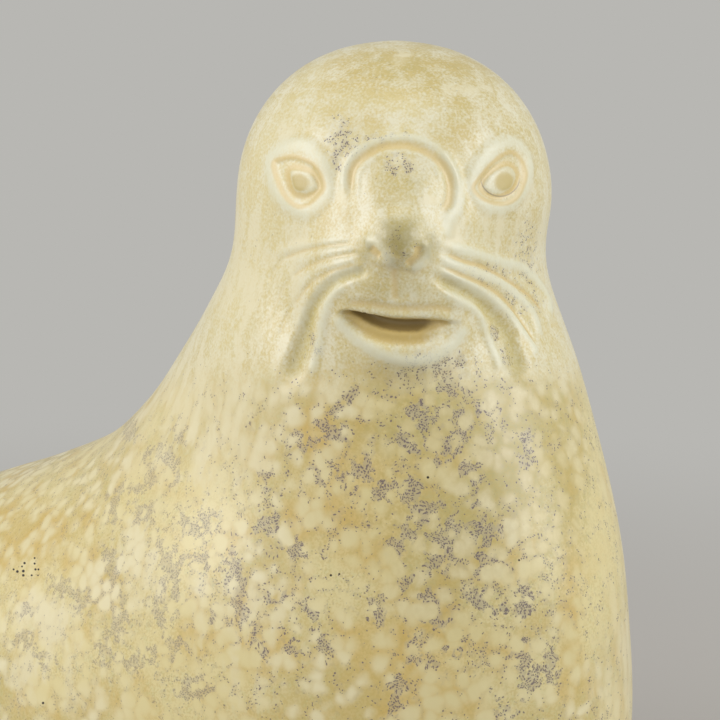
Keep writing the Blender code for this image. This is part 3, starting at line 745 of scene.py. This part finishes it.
class Recipe:  # the nodes of one material
    def __init__(self, tree):
        self.tree = tree

    def node(self, kind, settings=None, inputs=None, output=0):
        made = self.tree.nodes.new(kind)
        for name, value in (settings or {}).items():
            setattr(made, name, value)
        for name, value in (inputs or {}).items():
            if isinstance(value, Wire):
                self.tree.links.new(value.socket, made.inputs[name])
            else:
                made.inputs[name].default_value = value
        return Wire(self, made.outputs[output])

    def vector(self, operation, first, second=None, output=0):
        inputs = {0: first} if second is None else {0: first, 1: second}
        return self.node("ShaderNodeVectorMath", {"operation": operation}, inputs, output)

    def part(self, place, axis):  # one number out of three
        return self.node("ShaderNodeSeparateXYZ", None, {0: place}, axis)

    def mix(self, mask, first, second):  # 6 and 7 are the colour sockets, 2 is the colour output
        settings = {"data_type": "RGBA", "clamp_factor": True}
        return self.node("ShaderNodeMix", settings, {0: mask, 6: first, 7: second}, 2)

    def step(self, value, low, high):  # soft step from 0 at low to 1 at high
        settings = {"interpolation_type": "SMOOTHSTEP", "clamp": True}
        return self.node("ShaderNodeMapRange", settings,
                         {"Value": value, "From Min": low, "From Max": high})

    def noise(self, place, size, detail=1.0, roughness=0.5, output=0):
        inputs = {"Vector": place, "Scale": 1 / size, "Detail": detail, "Roughness": roughness}
        return self.node("ShaderNodeTexNoise", None, inputs, output)

    def cells(self, place, size, smoothness=None):
        settings = {"feature": "SMOOTH_F1" if smoothness else "F1"}
        inputs = {"Vector": place, "Scale": 1 / size}
        if smoothness:
            inputs["Smoothness"] = smoothness
        return self.node("ShaderNodeTexVoronoi", settings, inputs, "Distance")

    def attribute(self, name, output="Fac"):
        return self.node("ShaderNodeAttribute", {"attribute_name": name}, None, output)

    def into(self, shader, name, value):  # wires a value to a socket of the shader
        self.tree.links.new(value.socket, shader.inputs[name])


def srgb(red, green, blue):  # the colour of a paint chip, as 0 to 255
    return tuple((value / 255 / 12.92) if value < 11 else ((value / 255 + 0.055) / 1.055) ** 2.4
                 for value in (red, green, blue)) + (1.0,)


glaze = {
    "cream": srgb(240, 230, 190),
    "creamYellow": srgb(235, 221, 165),
    "ground": srgb(214, 196, 132),
    "headGround": srgb(224, 209, 150),
    "tan": srgb(214, 198, 145),
    "headCream": srgb(241, 235, 204),
    "ochre": srgb(218, 186, 104),
    # khaki glaze, also laid on as painted shade on the chest, under the chin, on the nose and in
    # the furrows
    "khaki": srgb(188, 174, 106),
    "palest": srgb(238, 236, 208),
    "iris": srgb(208, 187, 116),
    "green": srgb(196, 204, 152),
    "olive": srgb(204, 180, 98),
    # the nose's olive glaze, darkened as painted shade
    "noseShadeOlive": srgb(156, 143, 80),
    "haze": srgb(180, 170, 152),
    "speck": srgb(112, 98, 104),
    "pinhole": srgb(38, 30, 22),
    "grooveOchre": srgb(228, 203, 138),
    # dark brown glaze of the mouth's slit, deepened as painted shade
    "mouth": srgb(146, 124, 76),
    "mouthOchre": srgb(208, 181, 108),
    "bareClay": srgb(168, 140, 108),
    # across and up as seen, and radius, in millimetres
    "pinholes": [
        (-15.1, -89.2, 0.34), (-13.1, -88.9, 0.28), (8.0, -65.9, 0.36), (29.7, -85.6, 0.30),
        (20.2, -48.2, 0.22), (-83.6, -119.6, 0.34), (-90.6, -87.8, 0.28), (-89.7, -88.3, 0.38),
        (-88.3, -88.2, 0.40), (-88.3, -89.2, 0.36), (-88.6, -87.1, 0.26), (-88.0, -86.3, 0.34),
        (-85.6, -86.4, 0.30), (-85.6, -85.1, 0.26), (-85.4, -87.8, 0.32), (-84.7, -87.8, 0.28),
        (-86.3, -89.2, 0.28), (-84.8, -89.2, 0.22),
    ],
    "eyeLine": (25.2, 5.4, 4.6, 4.4, 0.16),  # middle, reach across and up, half width
    # sizes of patterns, in metres
    "mottleSize": 0.0041,
    "mottleSoftness": 0.35,
    "mottleVariety": (0.18, 0.22, 0.15),  # from each one's own lot, and round and long by clouds
    "longMottle": (0.6, 0.2),  # contrast, and share of the mottle's colour everywhere
    "speckSize": 0.00047,
    "waverSize": 0.0045,
    "fineSize": 0.0016,
    "grainSize": 0.0006,
    "streakSize": 0.005,
    "clusterSize": 0.0024,
    "pinholeCells": 0.013,
    "peelSize": 0.0022,
    "waver": 0.0034,
    "drawnOut": (1.0, 1.0, 0.30),  # squeezes the height, so that mottles run long
    "combed": (0.3, 1.0, 0.0),  # squeezes across, so that strokes lie level
    "combSize": 3.0,  # in millimetres
    # each mask rises from none at the first value to full at the second
    "rise": {
        "small": (0.78, 0.14), "long": (0.80, 0.20), "streak": (0.40, 0.66), "crown": (12.0, 24.0),
        "green": (0.48, 0.66), "ochre": (0.10, 1.10), "khaki": (0.15, 0.95), "grain": (0.42, 0.60),
        "pale": (0.15, 0.85), "cluster": (0.40, 0.60), "between": (0.90, 0.45),
        "chain": (0.28, 0.72), "headSpeck": (0.30, 1.2), "far": (-25.0, -60.0),
        "chosen": (0.0, 0.05), "dot": (0.52, 0.34), "furrow": (0.15, 0.9), "ridge": (0.05, 1.0),
        "olive": (0.10, 0.95), "groove": (0.15, 0.85), "iris": (0.35, 0.80), "eyeball": (0.3, 0.9),
        "line": (1.3, 0.7), "inner": (0.10, 0.38), "slit": (0.42, 0.72), "hole": (0.034, 0.020),
        "pinhole": (1.10, 0.60), "foot": (0.0022, 0.0014),
    },
    # what makes up the pale streaks on the head
    "headStreaks": {"base": 0.34, "streak": 0.5, "grain": 2.0, "fine": 1.2, "crown": 1.6,
                    "ochre": 0.55},
    # how crowded the specks are: body, dabs, chains, head dabs, head
    "crowd": (0.04, 0.30, 0.90, 0.8, 0.012),
    "hazeCover": (0.42, 0.12),  # and how much less on the far left
    "speckCover": (0.85, 0.45),
    # how much of the colour underneath each layer covers
    "cover": {
        "green": 0.2, "ochre": 0.80, "khaki": 0.8, "olive": 0.35, "tan": 0.85, "paleOchre": 0.45,
        "headKhaki": 0.45, "pale": 0.8, "furrow": 0.45, "ridge": 0.85, "nose": 0.45,
        "groove": 0.75, "eyeball": 0.5, "iris": 0.8, "eyeLine": 0.45, "inner": 0.8, "slit": 0.9,
    },
    "roughness": 0.40,
    "coat": 0.22,
    "coatRoughness": 0.18,
    "bump": {"Strength": 0.3, "Distance": 0.0001},
}


def glazedStoneware():
    material = bpy.data.materials.new("glazed stoneware")
    material.use_nodes = True
    shader = material.node_tree.nodes["Principled BSDF"]
    make = Recipe(material.node_tree)
    place = make.node("ShaderNodeTexCoord", None, None, "Object")
    seen = make.attribute("seen", "Vector")
    # across and up as seen from the front, and 1 on the sides that show there
    seenAcross, seenUp, shown = (make.part(seen, axis) for axis in ("X", "Y", "Z"))
    ridge, groove, furrow, mouth, eyeball = (
        make.attribute(name) for name in ("ridge", "groove", "furrow", "mouth", "eyeball"))
    ochreDab, khakiAndShadeDab, paleAndHighlightDab, speckledDab, oliveAndShadeDab = (
        make.attribute(name) for name in ("ochre", "khaki", "pale", "speckled", "olive"))
    stretched, chain, mottled = (
        make.attribute(name) for name in ("stretched", "chain", "mottled"))
    drift, clouds = make.attribute("drift"), make.attribute("clouds")
    fine = make.noise(place, glaze["fineSize"], 2.0, 0.6)

    def rise(name, value):
        return make.step(value, *glaze["rise"][name])

    def fray(amount):  # wears a mask's edge with the fine noise
        return (fine - 0.5) * amount

    def cover(layer, mask, under, colour):
        return make.mix(mask * glaze["cover"][layer], under, glaze[colour])

    # a wavering of the place keeps every cell from looking drawn
    waver = make.noise(place, glaze["waverSize"], output="Color")
    waver = make.vector("SUBTRACT", waver, (0.5, 0.5, 0.5))
    waver = make.node("ShaderNodeVectorMath", {"operation": "SCALE"},
                      {0: waver, "Scale": glaze["waver"]})
    moved = make.vector("ADD", place, waver)
    drawnOut = make.vector("MULTIPLY", moved, glaze["drawnOut"])

    # round mottles, larger ones among them, and long ones where the glaze ran
    small = make.cells(moved, glaze["mottleSize"], glaze["mottleSoftness"])
    size = make.part(small.other("Color"), "X")
    own, cloudy, longCloudy = glaze["mottleVariety"]
    small = rise("small", small + size * own - clouds * cloudy)
    long = rise("long", make.cells(drawnOut, glaze["mottleSize"]) - clouds * longCloudy)
    contrast, level = glaze["longMottle"]
    mottle = small * (1 - stretched) + (long * contrast + level) * stretched

    # the head's grain and streaks, and the combed strokes on its crown
    grain = make.noise(place, glaze["grainSize"])
    streak = rise("streak", make.noise(drawnOut, glaze["streakSize"], 2.0, 0.6))
    level = make.vector("MULTIPLY", seen, glaze["combed"])
    crown = rise("crown", seenUp) * (make.noise(level, glaze["combSize"], 3.0, 0.6) - 0.5)

    # the ground that shows between the mottles
    ground = make.mix(drift, glaze["ground"], glaze["creamYellow"])
    ground = make.mix(clouds * (0.25 + 0.35 * mottled), ground, glaze["ochre"])
    ground = cover("green", rise("green", fine), ground, "green")
    ochreMask = rise("ochre", ochreDab + (clouds - 0.5) * (0.1 + 0.3 * mottled) + fray(0.6))
    ground = cover("ochre", ochreMask, ground, "ochre")
    # khaki glaze, with painted shade where the khaki dabs lie on the chest, under the chin and on
    # the nose
    khakiAndShadeMask = rise("khaki", khakiAndShadeDab + fray(0.6))
    ground = cover("khaki", khakiAndShadeMask, ground, "khaki")
    ground = cover("olive", rise("grain", grain) * mottled, ground, "olive")

    # the mottles, and the streaked head above them
    pale = make.mix(drift, glaze["cream"], glaze["creamYellow"])
    # the mottles turn tan under the khaki dabs, painted shade under the chin among them
    pale = cover("tan", khakiAndShadeMask, pale, "tan")
    pale = cover("paleOchre", ochreMask, pale, "headGround")
    headSkin = make.mix(0.50 - ochreMask * 0.20, ground, glaze["headGround"])
    parts = glaze["headStreaks"]
    headMask = parts["base"] + streak * parts["streak"] + (grain - 0.5) * parts["grain"]
    headMask = headMask + fray(parts["fine"]) + crown * parts["crown"] - ochreMask * parts["ochre"]
    headSkin = make.mix(headMask, headSkin, glaze["headCream"])
    # khaki over the head's streaks where the khaki dabs lie, painted shade on the nose
    headSkin = cover("headKhaki", khakiAndShadeMask, headSkin, "khaki")
    colour = make.mix(mottled, headSkin, make.mix(mottle, ground, pale))
    # pale glaze streaks, with the painted highlight and rim light of the pale dabs
    paleAndHighlightMask = rise("pale", paleAndHighlightDab + (streak - 0.5) * 0.5 + fray(0.4))
    colour = cover("pale", paleAndHighlightMask, colour, "cream")

    # fine grey specks, each in its own cell, crowded into chains in the ground between the mottles
    dots = make.cells(moved, glaze["speckSize"])
    lot = make.part(dots.other("Color"), "X")
    cluster = rise("cluster", make.noise(place, glaze["clusterSize"], 2.0, 0.6))
    chain = rise("chain", chain + (cluster - 0.5) * 0.9)
    onBody, inDabs, inChains, inHeadDabs, onHead = glaze["crowd"]
    bodySpeck = onBody * (1 - stretched) + inDabs * speckledDab * cluster + inChains * chain
    bodySpeck = rise("between", mottle) * bodySpeck * mottled
    headSpeck = rise("headSpeck", speckledDab + (cluster - 0.5) * 0.7) * (1 - mottled)
    crowd = bodySpeck + headSpeck * inHeadDabs + (1 - mottled) * onHead
    far = rise("far", seenAcross)
    full, less = glaze["hazeCover"]
    colour = make.mix(crowd * (full - less * far), colour, glaze["haze"])
    speckMask = rise("chosen", crowd + 0.008 - lot) * rise("dot", dots)
    full, less = glaze["speckCover"]
    colour = make.mix(speckMask * (full - less * far), colour, glaze["speck"])

    # the carving: pale where the glaze drew thin, ochre where it pooled, khaki painted shade in
    # the furrows, olive glaze with painted shade on the nose
    furrowMask = rise("furrow", furrow)
    # painted shade: khaki darkening in the furrows
    colour = cover("furrow", furrowMask, colour, "khaki")
    ridgeMask = rise("ridge", ridge + fray(0.5)) * (1 - 0.7 * khakiAndShadeMask) * (1 - 0.3 * ochreMask)
    colour = cover("ridge", ridgeMask, colour, "palest")
    # olive glaze on the nose, partly painted shade
    colour = cover("nose", rise("olive", oliveAndShadeDab + fray(0.6)), colour, "noseShadeOlive")
    colour = cover("groove", rise("groove", groove + fray(0.5)), colour, "grooveOchre")
    colour = cover("eyeball", rise("eyeball", eyeball), colour, "palest")
    colour = cover("iris", rise("iris", eyeball * ochreDab + fray(0.3)), colour, "iris")

    # a thin grey line under the right eye
    middleU, middleV, reachU, reachV, halfWidth = glaze["eyeLine"]
    ring = make.vector("MULTIPLY", seen, (1 / reachU, 1 / reachV, 0.0))
    ring = make.vector("DISTANCE", ring, (middleU / reachU, middleV / reachV, 0), "Value")
    ring = make.node("ShaderNodeMath", {"operation": "ABSOLUTE"}, {0: ring - 1})
    lower = make.step(seenUp, middleV + 0.5, middleV - 2)
    eyeLine = rise("line", ring * reachU / halfWidth) * lower * shown
    colour = cover("eyeLine", eyeLine, colour, "speck")

    # the open mouth: ochre inside the lips, dark brown glaze with painted shade in the slit
    colour = cover("inner", rise("inner", mouth), colour, "mouthOchre")
    colour = cover("slit", rise("slit", mouth + fray(0.2)), colour, "mouth")

    # pinholes: single ones and a cluster in front, and a few on the sides out of sight
    pinhole = rise("hole", make.cells(place, glaze["pinholeCells"])) * (1 - shown)
    for middleU, middleV, radius in glaze["pinholes"]:
        gap = make.vector("DISTANCE", seen, (middleU, middleV, 1), "Value")
        pinhole = pinhole + rise("pinhole", gap / radius)
    colour = make.mix(pinhole, colour, glaze["pinhole"])

    # the bare ground foot
    foot = rise("foot", make.part(place, "Z") + fray(0.0012))
    colour = make.mix(foot, colour, glaze["bareClay"])

    make.into(shader, "Base Color", colour)
    roughness = glaze["roughness"] + speckMask * 0.1 + foot * 0.4 + fray(0.12) + furrowMask * 0.3
    make.into(shader, "Roughness", roughness)
    coat = (1 - foot) * (1 - 0.85 * furrowMask) * (1 - 0.45 * ridgeMask) * glaze["coat"]
    make.into(shader, "Coat Weight", coat)
    shader.inputs["Coat Roughness"].default_value = glaze["coatRoughness"]
    peel = {"Height": make.noise(place, glaze["peelSize"])}
    make.into(shader, "Normal", make.node("ShaderNodeBump", None, {**glaze["bump"], **peel}))
    return material


sealMesh.materials.append(glazedStoneware())
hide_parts("seal")
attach(seal, "root")
print("seal glazed")


# Studio: floor, lamps and camera

studio = {
    "backdrop": srgb(184, 183, 179),
    "floorRadius": 12.0,
    "floorPoints": 96,
    "floorFade": (0.15, 0.60),  # metres out, from shadowed floor to plain backdrop
    "lampDistance": 1.4,
    # share across, up and out of the face; side in metres; power in watts; colour
    "lamps": [
        ("key lamp", (-0.90, 0.36, 0.34), 0.9, 10.5, (1.0, 0.985, 0.965)),
        ("fill lamp", (0.90, 0.30, 0.36), 0.9, 9.6, (0.98, 0.99, 1.0)),
        ("top lamp", (0.10, 0.95, 0.45), 1.0, 2.0, (1.0, 1.0, 1.0)),
    ],
    "worldStrength": 0.42,
    "floorColour": srgb(190, 186, 180),
}


def paleFloor():
    bm = bmesh.new()
    bmesh.ops.create_circle(bm, segments=studio["floorPoints"],
                            radius=studio["floorRadius"], cap_ends=True)
    mesh = bpy.data.meshes.new("floor")
    bm.to_mesh(mesh)
    bm.free()
    floor = bpy.data.objects.new("floor", mesh)
    bpy.context.scene.collection.objects.link(floor)
    material = bpy.data.materials.new("pale floor")
    material.use_nodes = True
    tree = material.node_tree
    tree.nodes.clear()
    make = Recipe(tree)
    lit = make.node("ShaderNodeBsdfDiffuse", None, {"Color": studio["floorColour"]})
    plain = make.node("ShaderNodeEmission", None, {"Color": studio["backdrop"], "Strength": 1.0})
    place = make.node("ShaderNodeTexCoord", None, None, "Object")
    reach = make.vector("LENGTH", place, output="Value")
    seen = make.node("ShaderNodeLightPath", None, None, "Is Camera Ray")
    mirrored = make.node("ShaderNodeLightPath", None, None, "Is Glossy Ray")
    far = make.step(reach, *studio["floorFade"]) * (seen + mirrored)
    both = make.node("ShaderNodeMixShader", None, {0: far, 1: lit, 2: plain})
    out = tree.nodes.new("ShaderNodeOutputMaterial")
    tree.links.new(both.socket, out.inputs["Surface"])
    mesh.materials.append(material)


def addLamps(target):
    for name, (aside, up, ahead), side, power, colour in studio["lamps"]:
        data = bpy.data.lights.new(name, "AREA")
        data.shape = "DISK"
        data.size = side
        data.energy = power
        data.color = colour
        lamp = bpy.data.objects.new(name, data)
        way = (across * aside + upward * up + outward * ahead).normalized()
        lamp.location = target + way * studio["lampDistance"]
        lamp.rotation_euler = way.to_track_quat("Z", "Y").to_euler()
        bpy.context.scene.collection.objects.link(lamp)


def addWorld():
    world = bpy.data.worlds.new("studio air")
    world.use_nodes = True
    tree = world.node_tree
    tree.nodes.clear()
    make = Recipe(tree)
    seen = make.node("ShaderNodeLightPath", None, None, "Is Camera Ray")
    air = make.node("ShaderNodeBackground", None,
                    {"Color": (1, 1, 1, 1), "Strength": studio["worldStrength"]})
    plain = make.node("ShaderNodeBackground", None, {"Color": studio["backdrop"], "Strength": 1.0})
    both = make.node("ShaderNodeMixShader", None, {0: seen, 1: air, 2: plain})
    out = tree.nodes.new("ShaderNodeOutputWorld")
    tree.links.new(both.socket, out.inputs["Surface"])
    bpy.context.scene.world = world


def addCamera(head):  # placed so that the head lies where the photograph has it
    middle = camera["size"] / 2
    headX, headY = camera["headAt"]
    target = head - across * (headX - middle) * camera["perPixel"]
    target += upward * (headY - middle) * camera["perPixel"]
    data = bpy.data.cameras.new("camera")
    data.sensor_width = camera["sensor"]
    data.lens = camera["sensor"] * camera["distance"] / camera["perPixel"] / camera["size"]
    data.clip_start, data.clip_end = camera["clip"]
    viewer = bpy.data.objects.new("camera", data)
    viewer.location = target + outward * camera["distance"]
    viewer.rotation_euler = Matrix((across, upward, outward)).transposed().to_euler()
    bpy.context.scene.collection.objects.link(viewer)
    bpy.context.scene.camera = viewer


head = headMiddle + shift
paleFloor()
addLamps(head)
addWorld()
addCamera(head)
bpy.context.scene.view_settings.view_transform = "Standard"
print("studio set")
